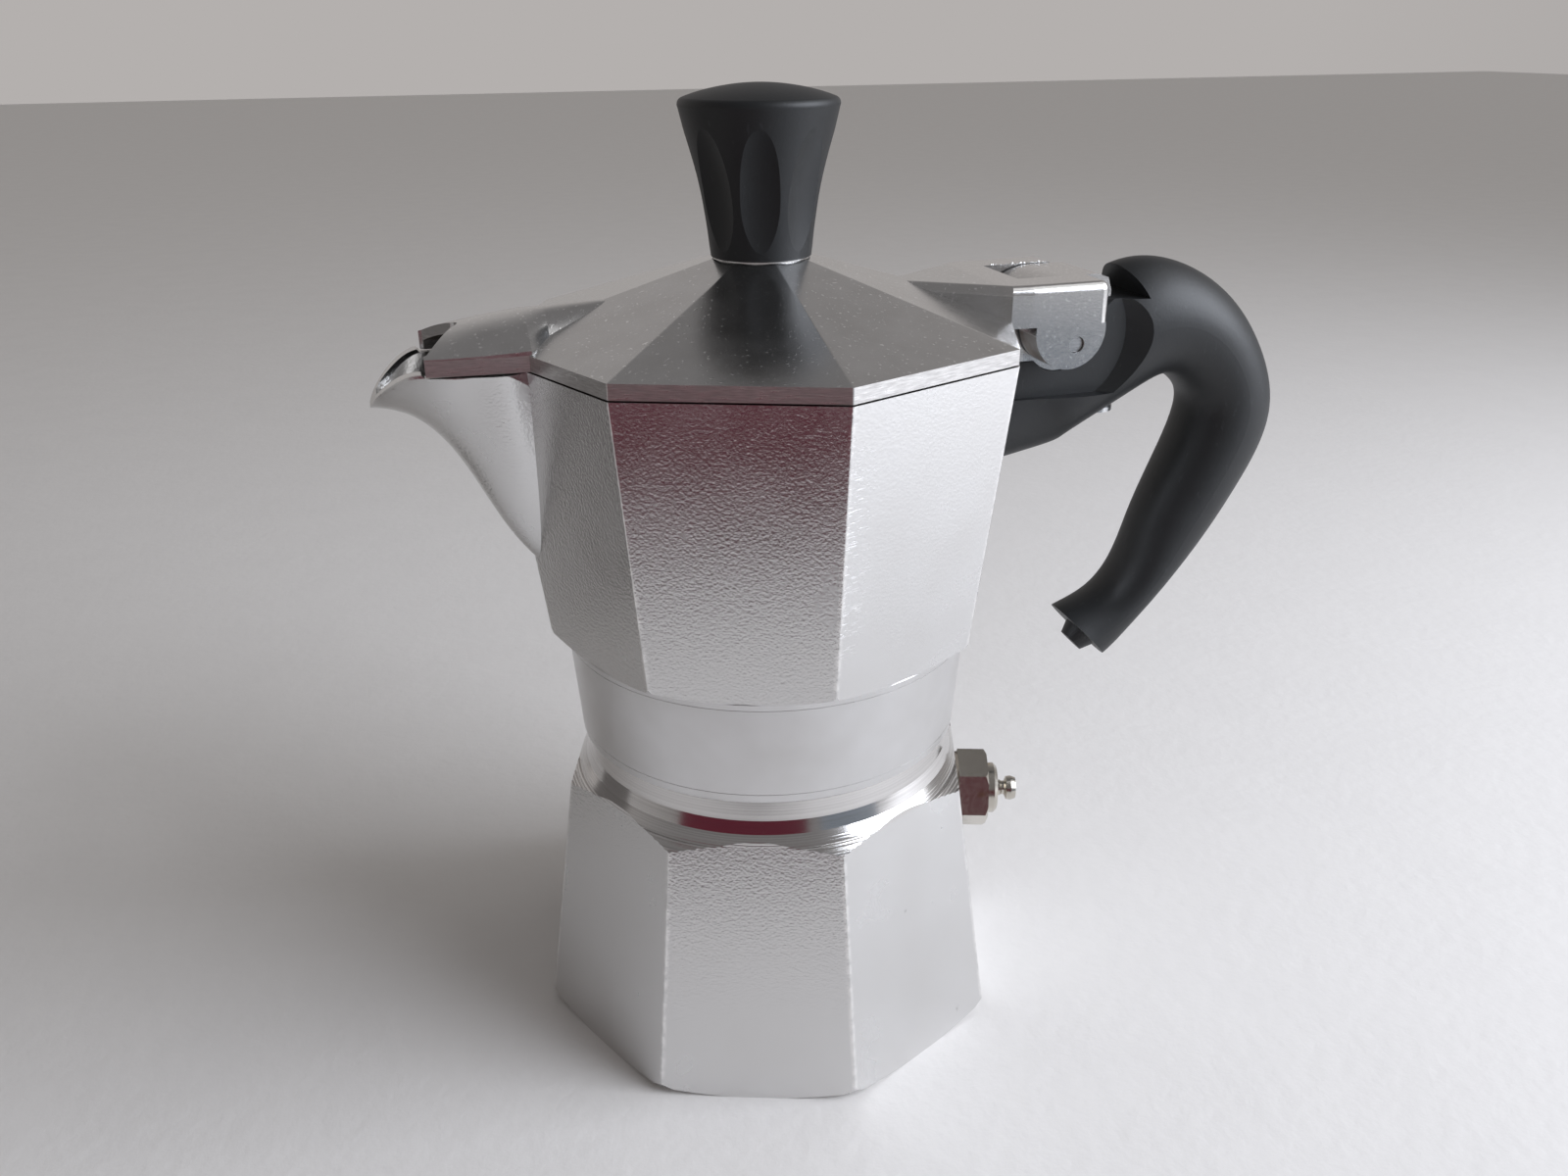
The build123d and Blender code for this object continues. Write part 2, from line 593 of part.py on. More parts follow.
def handle():
    """Moulded handle, cut to the chamber's corner, the lug and the lid's swing."""
    bar = handle_bar()
    bar -= octagon_frustum(
        CHAMBER_BOTTOM_RADIUS + 0.15, CHAMBER_BOTTOM_Z, SEAM_RADIUS + 0.15, SEAM_Z
    )
    bar -= block((20, -20, 99.9), (36, 20, 120))
    for side in (-1, 1):
        flare = Cone(EAR_SWEEP_RADIUS, EAR_SWEEP_RADIUS + 6.8, 6.8, rotation=(-90 * side, 0, 0))
        swing = Pos(HINGE_X, side * (CHEEK_OUTER_Y + 3.4), HINGE_Z) * flare
        bar -= swing & block((0, -20, 90), (80, 20, 130))
    bar -= block((20, -20, 103), (60, 20, 120)) & cross_bar(LID_SWEEP_RADIUS, HINGE_X, HINGE_Z, -20, 20)
    bar -= hinge_lug_space()
    screw_hole = [
        (0, 80), (3.0, 80), (3.0, 86.6),
        (SCREW_RADIUS, 88.1), (SCREW_RADIUS, 98.0), (0, 98.0),
    ]
    bar -= turned_at(HANDLE_SCREW_X, screw_hole)
    return bar


def hinge_lug_space():
    """Room for the lug and tang inside the handle, with a small gap."""
    gap = 0.1
    profile = [
        (28.0, 88.0 - gap), (35.0, 88.6 - gap), (40.0, 90.6 - gap), (46.0, 91.6 - gap), (48.7 + gap, 95.5),
        (49.0 + gap, 120), (28.0, 120),
    ]
    cam = cross_bar(LUG_CAM_RADIUS + gap, HINGE_X, HINGE_Z, -CHEEK_OUTER_Y, CHEEK_OUTER_Y)
    space = plate_xz(profile, -CHEEK_OUTER_Y, CHEEK_OUTER_Y) + cam
    return space - cheek_zone(gap, 20) + handle_tang(gap)


PARTS = {
    "boiler": boiler,
    "valve_body": valve_body,
    "valve_washer": valve_washer,
    "valve_cap": valve_cap,
    "valve_stem": valve_stem,
    "valve_seal": valve_seal,
    "valve_spring": valve_spring,
    "funnel": funnel,
    "funnel_screen": funnel_screen,
    "gasket": gasket,
    "filter_plate": filter_plate,
    "upper_chamber": upper_chamber,
    "coffee_column": coffee_column,
    "hinge_pin": hinge_pin,
    "lid": lid,
    "knob": knob,
    "knob_screw": knob_screw,
    "knob_washer": knob_washer,
    "handle": handle,
    "handle_screw": handle_screw,
}

os.makedirs("parts", exist_ok=True)
for name, make in PARTS.items():
    shape = make()
    export_step(shape, f"parts/{name}.step")
    print(name, round(shape.volume, 1))
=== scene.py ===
import math

import bpy
from mathutils import Matrix, Vector


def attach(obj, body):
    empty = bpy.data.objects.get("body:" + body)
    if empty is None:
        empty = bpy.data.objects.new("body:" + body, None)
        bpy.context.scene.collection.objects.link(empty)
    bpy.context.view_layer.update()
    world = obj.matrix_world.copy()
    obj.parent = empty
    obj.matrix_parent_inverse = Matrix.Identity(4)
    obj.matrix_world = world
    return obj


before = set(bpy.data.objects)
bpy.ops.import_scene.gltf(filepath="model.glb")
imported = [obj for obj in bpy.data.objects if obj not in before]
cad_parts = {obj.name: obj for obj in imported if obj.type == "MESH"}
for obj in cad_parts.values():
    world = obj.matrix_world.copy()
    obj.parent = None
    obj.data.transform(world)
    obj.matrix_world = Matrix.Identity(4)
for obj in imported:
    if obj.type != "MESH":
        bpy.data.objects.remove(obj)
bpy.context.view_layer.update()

bl_info = {
    "name": "Moka pot finishes",
    "version": (1, 0, 0),
    "blender": (4, 5, 0),
    "location": "View3D > Sidebar > Moka pot",
    "description": "Finishes for a stove-top moka pot, with its screw threads and a plain studio",
    "category": "Object",
}

MM = 0.001

# Where one finish gives way to the next, in millimetres, from the drawing of the castings
SHOULDER_TURNED_Z = 38.5
SHOULDER_ZONE_Z = 34.0
BOILER_BASE_Z = 1.5
BOILER_INNER_RADIUS = 31.9
BOILER_WALL_LEAN = 0.1366
BOILER_MOUTH_Z = 42.0
BOILER_MOUTH_RADIUS = 22.0
BAND_TOP_Z = 60.25
CHAMBER_LEAN = 0.11
CHAMBER_INNER_RADIUS = 20.85
CHAMBER_INNER_Z = 61.0
LUG_X = 36.0
LUG_Z = 85.0
LID_SEAT_Z = 100.2
LID_RIM_Z = 102.25
LID_BLOCK_X = 30.0
CORNERS = 8
BOILER_TURN = 2.75
THREAD_LOW_Z = 46.6
THREAD_HIGH_Z = 56.4
BOILER_THREAD_RADIUS = 24.3
BAND_THREAD_RADIUS = 24.75
BOILER_SINK = 0.06
BAND_SINK = 0.1
EDGE_FRONT_X = 34.6
EDGE_BACK_X = 44.2
EDGE_Y = 5.55
EDGE_Z = 106.65
BEAD_COUNT = 46
BEAD_RADIUS = 0.13
BEAD_SCATTER = 0.35
POT_MIDDLE_Z = 50
MASK_SOFTNESS = 0.1
TOOL_MARKS_FADE_Z = 38.6
TOOL_MARKS_END_Z = 39.4
FOOT_TOP_Z = 2.3
UNDERCUT_TOP_Z = 68.0
SCRATCH_REACH_X = 4.6
SCRATCH_FRONT_Y = -26.0
SCRATCH_LOW_Z = 66.0
SCRATCH_HIGH_Z = 98.0


def linear(hex_colour):
    """An sRGB hex colour as linear red, green, blue and a full alpha."""
    channels = [int(hex_colour[i:i + 2], 16) / 255 for i in (1, 3, 5)]
    return tuple(c / 12.92 if c <= 0.04045 else ((c + 0.055) / 1.055) ** 2.4 for c in channels) + (1.0,)


# ---------------------------------------------------------------- settings

class PotFinishSettings(bpy.types.PropertyGroup):
    """Colours and surface sizes that a user may change."""
    aluminium: bpy.props.FloatVectorProperty(
        name="Aluminium", description="Colour of the bare cast aluminium",
        subtype="COLOR", size=4, min=0, max=1, default=linear("#DFDFDF"))
    plastic: bpy.props.FloatVectorProperty(
        name="Plastic", description="Colour of the moulded handle and knob",
        subtype="COLOR", size=4, min=0, max=1, default=linear("#121416"))
    grain: bpy.props.FloatProperty(
        name="Cast grain", description="Size of the tumbled casting's grain",
        subtype="DISTANCE", unit="LENGTH", default=0.38 * MM, min=0.1 * MM, max=2 * MM)
    satin_roughness: bpy.props.FloatProperty(
        name="Satin roughness", description="Roughness of the tumbled facets",
        subtype="FACTOR", default=0.24, min=0.05, max=1)
    ring_pitch: bpy.props.FloatProperty(
        name="Tool mark pitch", description="Distance between the lathe's marks on the shoulder",
        subtype="DISTANCE", unit="LENGTH", default=0.42 * MM, min=0.05 * MM, max=2 * MM)


class PotThreadSettings(bpy.types.PropertyGroup):
    """Sizes of the screw thread between boiler and band."""
    pitch: bpy.props.FloatProperty(
        name="Pitch", description="Rise of the thread in one turn",
        subtype="DISTANCE", unit="LENGTH", default=3 * MM, min=1 * MM, max=6 * MM)
    boiler_ridge: bpy.props.FloatProperty(
        name="Boiler ridge", description="Radius of the rounded ridge on the boiler",
        subtype="DISTANCE", unit="LENGTH", default=0.34 * MM, min=0.1 * MM, max=1 * MM)
    band_ridge: bpy.props.FloatProperty(
        name="Band ridge", description="Radius of the rounded ridge inside the band",
        subtype="DISTANCE", unit="LENGTH", default=0.22 * MM, min=0.1 * MM, max=1 * MM)


class PotStageSettings(bpy.types.PropertyGroup):
    """Camera and light of the plain studio."""
    azimuth: bpy.props.FloatProperty(
        name="Azimuth", description="Turn of the camera about the pot, seen from above",
        subtype="ANGLE", unit="ROTATION", default=math.radians(-16.85))
    elevation: bpy.props.FloatProperty(
        name="Elevation", description="Height of the camera above the level",
        subtype="ANGLE", unit="ROTATION", default=math.radians(23.73))
    roll: bpy.props.FloatProperty(
        name="Roll", description="Tilt of the camera about its own line of sight",
        subtype="ANGLE", unit="ROTATION", default=math.radians(-0.51))
    distance: bpy.props.FloatProperty(
        name="Distance", description="From the camera to the point it looks at",
        subtype="DISTANCE", unit="LENGTH", default=0.18524, min=0.05, max=5)
    target: bpy.props.FloatVectorProperty(
        name="Target", description="The point the camera looks at",
        subtype="XYZ", unit="LENGTH", default=(0.00247, -0.00074, 0.06373))
    focal_length: bpy.props.FloatProperty(
        name="Focal length", description="Focal length of the lens in millimetres",
        default=29.45, min=10, max=200)
    window_power: bpy.props.FloatProperty(
        name="Window power", description="Power of the soft light on the handle's side",
        subtype="POWER", unit="POWER", default=4.3, min=0, max=100)
    daylight: bpy.props.FloatProperty(
        name="Daylight", description="Strength of the even light that reaches the whole floor",
        default=0.6, min=0, max=10)
    floor_colour: bpy.props.FloatVectorProperty(
        name="Floor", description="Colour of the pale floor",
        subtype="COLOR", size=4, min=0, max=1, default=linear("#E6E3E0"))


# ---------------------------------------------------------------- building blocks

def add(tree, kind, inputs=(), **settings):
    """Add a node, set it up, and fill its inputs with numbers, sockets or other nodes' first outputs."""
    made = tree.nodes.new(kind)
    for key, value in settings.items():
        setattr(made, key, value)
    for key, value in dict(inputs).items():
        if isinstance(key, str):
            socket = next(s for s in made.inputs if s.enabled and key in (s.name, s.identifier))
        else:
            socket = made.inputs[key]
        if isinstance(value, bpy.types.Node):
            value = next(s for s in value.outputs if s.enabled)
        if isinstance(value, bpy.types.NodeSocket):
            tree.links.new(value, socket)
        else:
            socket.default_value = value
    return made


def fine(size_mm):
    """Noise scale for a pattern whose features are this many millimetres apart."""
    return 1 / (size_mm * MM)


class Surface:
    """A material in the making: its tree, its coordinates in millimetres and its shader."""

    def __init__(self, name, **sockets):
        self.material = bpy.data.materials.new(name)
        self.material.use_nodes = True
        self.tree = self.material.node_tree
        self.tree.nodes.clear()
        self.coords = add(self.tree, "ShaderNodeTexCoord")
        self.position = self.coords.outputs["Object"]
        to_mm = {0: self.position, "Scale": 1 / MM}
        scaled = add(self.tree, "ShaderNodeVectorMath", to_mm, operation="SCALE")
        parts = add(self.tree, "ShaderNodeSeparateXYZ", {0: scaled})
        self.x, self.y, self.z = parts.outputs
        facing = add(self.tree, "ShaderNodeSeparateXYZ", {0: self.coords.outputs["Normal"]})
        self.up = facing.outputs["Z"]
        flat = add(self.tree, "ShaderNodeCombineXYZ", {"X": self.x, "Y": self.y})
        self.radius = add(self.tree, "ShaderNodeVectorMath", {0: flat}, operation="LENGTH").outputs["Value"]
        self.shader = add(self.tree, "ShaderNodeBsdfPrincipled", sockets)
        output = add(self.tree, "ShaderNodeOutputMaterial")
        self.tree.links.new(self.shader.outputs["BSDF"], output.inputs["Surface"])

    def set(self, **links):
        """Link these results to the shader's sockets of the same name."""
        for key, value in links.items():
            socket = self.shader.inputs[key.replace("_", " ")]
            if isinstance(value, bpy.types.Node):
                value = next(s for s in value.outputs if s.enabled)
            self.tree.links.new(value, socket)

    def relief(self, height, depth_mm):
        """Turn a height from 0 to 1 into relief of this depth."""
        inputs = {"Height": height, "Distance": depth_mm * MM, "Strength": 1.0}
        self.set(Normal=add(self.tree, "ShaderNodeBump", inputs))

    def paint(self, nodes):
        """Put the finished material on these parts of the drawing."""
        for node in nodes:
            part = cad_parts[node]
            for slot in part.material_slots:
                slot.material = self.material


def step(surface, value, start, end):
    """0 below start and 1 above end, with an even slope between."""
    inputs = {"Value": value, "From Min": start, "From Max": end}
    return add(surface.tree, "ShaderNodeMapRange", inputs)


def both(surface, first, second):
    """The place where two masks overlap."""
    return add(surface.tree, "ShaderNodeMath", {0: first, 1: second}, operation="MULTIPLY")


def either(surface, first, second):
    """The place that at least one of two masks covers."""
    return add(surface.tree, "ShaderNodeMath", {0: first, 1: second}, operation="MAXIMUM")


def blend(surface, share, low, high):
    """A number between low and high."""
    return add(surface.tree, "ShaderNodeMix", {"Factor": share, "A": low, "B": high})


def blend_colour(surface, share, low, high):
    """A colour between low and high."""
    inputs = {"Factor": share, "A_Color": low, "B_Color": high}
    return add(surface.tree, "ShaderNodeMix", inputs, data_type="RGBA")


def noise(surface, size_mm, detail=2.0, stretch=None):
    """Cloudy noise with features of this size; stretch scales each direction of the pattern."""
    vector = surface.position
    if stretch:
        vector = add(surface.tree, "ShaderNodeVectorMath", {0: vector, 1: stretch}, operation="MULTIPLY")
    inputs = {"Vector": vector, "Scale": fine(size_mm), "Detail": detail}
    return add(surface.tree, "ShaderNodeTexNoise", inputs)


def rings(surface, pitch_mm, along):
    """Uneven circular tool marks: noise that changes only with the given distance."""
    vector = add(surface.tree, "ShaderNodeCombineXYZ", {"X": along})
    inputs = {"Vector": vector, "Scale": 1 / pitch_mm, "Detail": 1.0}
    return add(surface.tree, "ShaderNodeTexNoise", inputs)


# ---------------------------------------------------------------- metal finishes

class Zone:
    """One finish of a casting: where it is, its colour and roughness, and its relief from 0 to 1."""

    def __init__(self, mask, colour, roughness, height):
        self.mask = mask
        self.colour = colour
        self.roughness = roughness
        self.height = height


def casting(surface, zones, depth_mm):
    """Lay zones over each other, each in its own place, and give the shader the result."""
    first, *rest = zones
    colour, roughness, height = first.colour, first.roughness, first.height
    for zone in rest:
        colour = blend_colour(surface, zone.mask, colour, zone.colour)
        roughness = blend(surface, zone.mask, roughness, zone.roughness)
        height = blend(surface, zone.mask, height, zone.height)
    surface.set(Base_Color=colour, Roughness=roughness)
    surface.relief(height, depth_mm)


def tumbled(surface, finish):
    """Gravity-cast aluminium, tumbled: even silver grey, fine grain, rare faint
    stains. The real grain is finer; this is as fine as a render can hold."""
    grain = noise(surface, finish.grain / MM, detail=3.0)
    cloud = noise(surface, 9.0, detail=3.0)
    stained = step(surface, noise(surface, 2.2, detail=3.0), 0.74, 0.86)
    grey = blend_colour(surface, cloud, linear("#D6D5D4"), finish.aluminium)
    colour = blend_colour(surface, stained, grey, linear("#96928F"))
    mottled = step(surface, cloud, 0.3, 0.7)
    roughness = blend(surface, mottled, finish.satin_roughness - 0.02, finish.satin_roughness + 0.04)
    return Zone(None, colour, roughness, grain)


def corner_distance(surface, turn_degrees):
    """Millimetres round the casting to the nearest of its eight upright corners."""
    tree, math_node = surface.tree, "ShaderNodeMath"
    shift = -turn_degrees * CORNERS / 360
    angle = add(tree, math_node, {0: surface.y, 1: surface.x}, operation="ARCTAN2")
    share = add(tree, math_node, {0: angle, 1: CORNERS / math.tau, 2: shift}, operation="MULTIPLY_ADD")
    nearest = add(tree, math_node, {0: share, 1: 0.5}, operation="PINGPONG")
    arc = add(tree, math_node, {0: surface.radius, 1: math.tau / CORNERS}, operation="MULTIPLY")
    return add(tree, math_node, {0: nearest, 1: arc}, operation="MULTIPLY")


def worn_and_highlit_corners(surface, turn_degrees):
    """Corners painted near white, patchy along their length: partly wear rubbed bright by handling, partly a
    painted highlight where the rounded corners catch the light.
    """
    near = step(surface, corner_distance(surface, turn_degrees), 0.55, 0.12)
    patches = step(surface, noise(surface, 1.4, detail=3.0), 0.38, 0.58)
    mask = both(surface, near, patches)
    fine_marks = noise(surface, 0.3, detail=2.0)
    # The near-white corner colour is partly wear and partly a painted highlight.
    return Zone(mask, linear("#F2F1F0"), blend(surface, fine_marks, 0.14, 0.30), fine_marks)


def corner_scratches(surface):
    """Short slanting scratches beside the front corner, where other pans have knocked it."""
    turned = add(surface.tree, "ShaderNodeMapping", {
        "Vector": surface.position, "Rotation": (0, math.radians(34), 0), "Scale": (0.22, 0.5, 2.6),
    })
    inputs = {"Vector": turned, "Scale": fine(0.42), "Detail": 2.0}
    strokes = add(surface.tree, "ShaderNodeTexNoise", inputs)
    thin = step(surface, strokes, 0.60, 0.66)
    beside = both(
        surface,
        step(surface, surface.x, SCRATCH_REACH_X, 0.4),
        step(surface, surface.x, -0.4, 0.0),
    )
    front = both(surface, beside, step(surface, surface.y, SCRATCH_FRONT_Y + 1, SCRATCH_FRONT_Y))
    height = both(
        surface,
        step(surface, surface.z, SCRATCH_LOW_Z, SCRATCH_LOW_Z + 4),
        step(surface, surface.z, SCRATCH_HIGH_Z, SCRATCH_HIGH_Z - 6),
    )
    mask = both(surface, both(surface, front, height), thin)
    return Zone(mask, linear("#FFFFFF"), blend(surface, strokes, 0.3, 0.4), strokes)


def turned_satin(surface, mask, along):
    """Lathe-turned aluminium, lightly brushed: finer circular lines and an even sheen."""
    lines = rings(surface, 0.16, along)
    cloud = noise(surface, 7.0, detail=2.0)
    colour = blend_colour(surface, cloud, linear("#D0CFCE"), linear("#E2E2E3"))
    roughness = blend(surface, lines, 0.24, 0.36)
    height = blend(surface, lines, 0.42, 0.58)
    return Zone(mask, colour, roughness, height)


def turned_bright(surface, finish, mask, along, smooth):
    """Freshly cut aluminium: mirror bright with the tool's uneven rings, fading where the cut is smooth."""
    marks = rings(surface, finish.ring_pitch / MM, along)
    strong = step(surface, marks, 0.35, 0.62)
    height = blend(surface, smooth, strong, 0.5)
    colour = blend_colour(surface, marks, linear("#B9B6B4"), linear("#F0EFEE"))
    roughness = blend(surface, marks, 0.22, 0.10)
    return Zone(mask, colour, roughness, height)


def cast_inside(surface, mask, stain):
    """As-cast aluminium with dull oxide and a little coffee stain."""
    grain = noise(surface, 0.7, detail=4.0)
    cloud = noise(surface, 6.0, detail=4.0)
    stained = step(surface, cloud, 0.45, 0.7)
    colour = blend_colour(surface, stained, linear("#A9A6A2"), linear(stain))
    roughness = blend(surface, cloud, 0.5, 0.68)
    return Zone(mask, colour, roughness, grain)


def polished(surface, mask):
    """Buffed aluminium with scattered fine scratches and pinholes."""
    scratches = noise(surface, 0.5, detail=3.0, stretch=(1.0, 6.0, 2.0))
    dots = step(surface, noise(surface, 0.35, detail=0.0), 0.70, 0.78)
    colour = blend_colour(surface, dots, linear("#DAD9D8"), linear("#F2F1EF"))
    roughness = blend(surface, scratches, 0.13, 0.28)
    height = blend(surface, scratches, 0.40, 0.60)
    return Zone(mask, colour, roughness, height)


def filed(surface, mask):
    """A seam filed by hand: short level scratches of many brightnesses."""
    strokes = noise(surface, 0.45, detail=3.0, stretch=(0.25, 0.25, 2.4))
    colour = blend_colour(surface, strokes, linear("#9A9795"), linear("#F4F3F2"))
    roughness = blend(surface, strokes, 0.42, 0.2)
    return Zone(mask, colour, roughness, strokes)


def boiler_aluminium(finish):
    """The lower casting: tumbled facets, a bright turned shoulder and a dull inside."""
    s = Surface("tumbled_cast_aluminium_boiler", Metallic=1.0)
    above = step(s, s.z, SHOULDER_TURNED_Z - MASK_SOFTNESS, SHOULDER_TURNED_Z + MASK_SOFTNESS)
    near_top = step(s, s.z, SHOULDER_ZONE_Z, SHOULDER_ZONE_Z + MASK_SOFTNESS)
    leaning = step(s, s.up, 0.22, 0.30)
    turned_mask = either(s, above, both(s, near_top, leaning))
    smooth = step(s, s.z, TOOL_MARKS_FADE_Z, TOOL_MARKS_END_Z)
    across = add(s.tree, "ShaderNodeMath", {0: s.z, 1: s.radius}, operation="SUBTRACT")
    shoulder = turned_bright(s, finish, turned_mask, across, smooth)
    lean = add(s.tree, "ShaderNodeMath", {0: s.z, 1: BOILER_WALL_LEAN, 2: s.radius}, operation="MULTIPLY_ADD")
    within_wall = step(s, lean, BOILER_INNER_RADIUS + MASK_SOFTNESS, BOILER_INNER_RADIUS - MASK_SOFTNESS)
    below_mouth = step(s, s.z, BOILER_MOUTH_Z + MASK_SOFTNESS, BOILER_MOUTH_Z - MASK_SOFTNESS)
    off_base = step(s, s.z, BOILER_BASE_Z - MASK_SOFTNESS, BOILER_BASE_Z + MASK_SOFTNESS)
    cavity = both(s, both(s, within_wall, below_mouth), off_base)
    mouth = step(s, s.radius, BOILER_MOUTH_RADIUS + MASK_SOFTNESS, BOILER_MOUTH_RADIUS - MASK_SOFTNESS)
    inside = either(s, cavity, both(s, mouth, off_base))
    facing_down = step(s, s.up, -0.3, -0.5)
    base = both(s, facing_down, step(s, s.z, FOOT_TOP_Z, FOOT_TOP_Z - MASK_SOFTNESS))
    foot = turned_satin(s, base, s.radius)
    # Bright corners: partly wear, partly a painted highlight.
    corners = worn_and_highlit_corners(s, BOILER_TURN)
    casting(s, [tumbled(s, finish), corners, shoulder, foot, cast_inside(s, inside, "#7C756C")], 0.05)
    return s


def chamber_aluminium(finish):
    """The upper casting: tumbled facets over a turned band, a polished hinge lug and a stained inside."""
    s = Surface("tumbled_cast_aluminium_chamber", Metallic=1.0)
    band = step(s, s.z, BAND_TOP_Z + 0.05, BAND_TOP_Z - 0.05)
    facing_down = step(s, s.up, -0.18, -0.24)
    under = both(s, facing_down, step(s, s.z, UNDERCUT_TOP_Z + MASK_SOFTNESS, UNDERCUT_TOP_Z))
    ring_zone = turned_satin(s, either(s, band, under), s.z)
    lean = add(s.tree, "ShaderNodeMath", {0: s.z, 1: -CHAMBER_LEAN, 2: s.radius}, operation="MULTIPLY_ADD")
    within_wall = step(s, lean, CHAMBER_INNER_RADIUS + MASK_SOFTNESS, CHAMBER_INNER_RADIUS - MASK_SOFTNESS)
    cavity = both(s, within_wall, step(s, s.z, CHAMBER_INNER_Z, CHAMBER_INNER_Z + MASK_SOFTNESS))
    inside = cast_inside(s, cavity, "#6F5B48")
    behind = step(s, s.x, LUG_X - MASK_SOFTNESS, LUG_X + MASK_SOFTNESS)
    raised = step(s, s.z, LUG_Z - MASK_SOFTNESS, LUG_Z + MASK_SOFTNESS)
    lug = both(s, behind, raised)
    # The bright corners here are partly wear and partly a painted highlight; the slanting scratches are wear.
    worn = [worn_and_highlit_corners(s, 0.0), corner_scratches(s)]
    casting(s, [tumbled(s, finish), *worn, ring_zone, inside, polished(s, lug)], 0.05)
    return s


def lid_aluminium(finish):
    """The lid: half polished roof with white pinholes, a filed rim and a polished hinge block."""
    s = Surface("half_polished_cast_aluminium_lid", Metallic=1.0)
    cloud = noise(s, 5.0, detail=3.0)
    specks = step(s, noise(s, 0.5, detail=1.0), 0.66, 0.74)
    grain = noise(s, 0.45, detail=2.0)
    grey = blend_colour(s, cloud, linear("#C9C8C7"), finish.aluminium)
    colour = blend_colour(s, specks, grey, linear("#F6F6F6"))
    roughness = blend(s, cloud, 0.17, 0.27)
    height = blend(s, specks, blend(s, grain, 0.42, 0.58), 1.0)
    roof = Zone(None, colour, roughness, height)
    above_seat = step(s, s.z, LID_SEAT_Z, LID_SEAT_Z + MASK_SOFTNESS)
    below_roof = step(s, s.z, LID_RIM_Z + 0.05, LID_RIM_Z - 0.05)
    rim_height = both(s, above_seat, below_roof)
    upright = both(s, step(s, s.up, -0.3, -0.2), step(s, s.up, 0.3, 0.2))
    rim = filed(s, both(s, rim_height, upright))
    block = polished(s, step(s, s.x, LID_BLOCK_X - 0.6, LID_BLOCK_X + 0.6))
    inside = cast_inside(s, step(s, s.up, -0.04, -0.10), "#75624F")
    casting(s, [roof, rim, block, inside], 0.016)
    return s


def pressed_aluminium():
    """Deep-drawn aluminium sheet: satin, with faint drawing lines and water marks."""
    s = Surface("pressed_sheet_aluminium", Metallic=1.0)
    lines = rings(s, 0.3, s.radius)
    cloud = noise(s, 4.0, detail=3.0)
    s.set(Base_Color=blend_colour(s, cloud, linear("#C6C5C3"), linear("#E4E3E2")))
    s.set(Roughness=blend(s, lines, 0.22, 0.38))
    s.relief(lines, 0.008)
    return s


def moulded_phenolic(finish):
    """Phenolic plastic from a matt mould: black with a broad soft sheen and a fine orange-peel skin."""
    s = Surface("moulded_black_phenolic", IOR=1.52)
    skin = noise(s, 0.32, detail=2.0)
    rubbed = noise(s, 11.0, detail=3.0)
    scuffs = step(s, noise(s, 0.6, detail=2.0, stretch=(1.0, 1.0, 0.3)), 0.66, 0.74)
    dusty = blend_colour(s, step(s, rubbed, 0.45, 0.75), finish.plastic, linear("#17191B"))
    s.set(Base_Color=blend_colour(s, scuffs, dusty, linear("#222426")))
    s.set(Roughness=blend(s, rubbed, 0.44, 0.56))
    s.relief(skin, 0.012)
    return s


def plated_brass():
    """Nickel-plated brass: bright warm grey, a touch yellower where the plate is thin."""
    s = Surface("nickel_plated_brass", Metallic=1.0)
    cloud = noise(s, 1.6, detail=3.0)
    worn = step(s, cloud, 0.64, 0.80)
    s.set(Base_Color=blend_colour(s, worn, linear("#C6C1B8"), linear("#B3A488")))
    s.set(Roughness=blend(s, noise(s, 0.5, detail=2.0), 0.16, 0.30))
    s.relief(noise(s, 0.5, detail=2.0), 0.004)
    return s


def zinc_steel():
    """Zinc-plated steel: cool grey with fine scratches round the shank."""
    s = Surface("zinc_plated_steel", Metallic=1.0)
    lines = rings(s, 0.12, s.z)
    s.set(Base_Color=blend_colour(s, noise(s, 1.0, detail=2.0), linear("#B4B5B6"), linear("#D0D1D3")))
    s.set(Roughness=blend(s, lines, 0.2, 0.36))
    s.relief(lines, 0.006)
    return s


def spring_wire():
    """Drawn spring wire: dark grey steel with a slight sheen."""
    s = Surface("drawn_spring_wire", Metallic=1.0)
    cloud = noise(s, 0.5, detail=2.0)
    s.set(Base_Color=blend_colour(s, cloud, linear("#8C8C8D"), linear("#A9A9AA")))
    s.set(Roughness=blend(s, cloud, 0.26, 0.4))
    s.relief(cloud, 0.004)
    return s


def silicone():
    """Pressed silicone rubber: off-white, waxy and matt, with a coffee tint."""
    s = Surface("moulded_silicone", IOR=1.41)
    cloud = noise(s, 5.0, detail=3.0)
    s.set(Base_Color=blend_colour(s, step(s, cloud, 0.4, 0.75), linear("#E3DED2"), linear("#C5B59B")))
    s.set(Roughness=blend(s, cloud, 0.48, 0.62))
    s.relief(noise(s, 0.25, detail=2.0), 0.01)
    return s


def pressed_fibre():
    """Vulcanised fibre sheet: dull grey-brown with short paper-like fibres."""
    s = Surface("vulcanised_fibre", IOR=1.5)
    fibres = noise(s, 0.3, detail=3.0, stretch=(1.0, 0.3, 1.0))
    s.set(Base_Color=blend_colour(s, fibres, linear("#5A5148"), linear("#7C7265")))
    s.set(Roughness=blend(s, fibres, 0.7, 0.85))
    s.relief(fibres, 0.02)
    return s


# ---------------------------------------------------------------- pieces made by rule

def new_tree(name, sockets):
    """A Geometry Nodes tree with named inputs; returns it and its input and output nodes."""
    tree = bpy.data.node_groups.new(name, "GeometryNodeTree")
    tree.interface.new_socket("Geometry", in_out="OUTPUT", socket_type="NodeSocketGeometry")
    for label, kind in sockets.items():
        tree.interface.new_socket(label, in_out="INPUT", socket_type=kind)
    return tree, add(tree, "NodeGroupInput"), add(tree, "NodeGroupOutput")


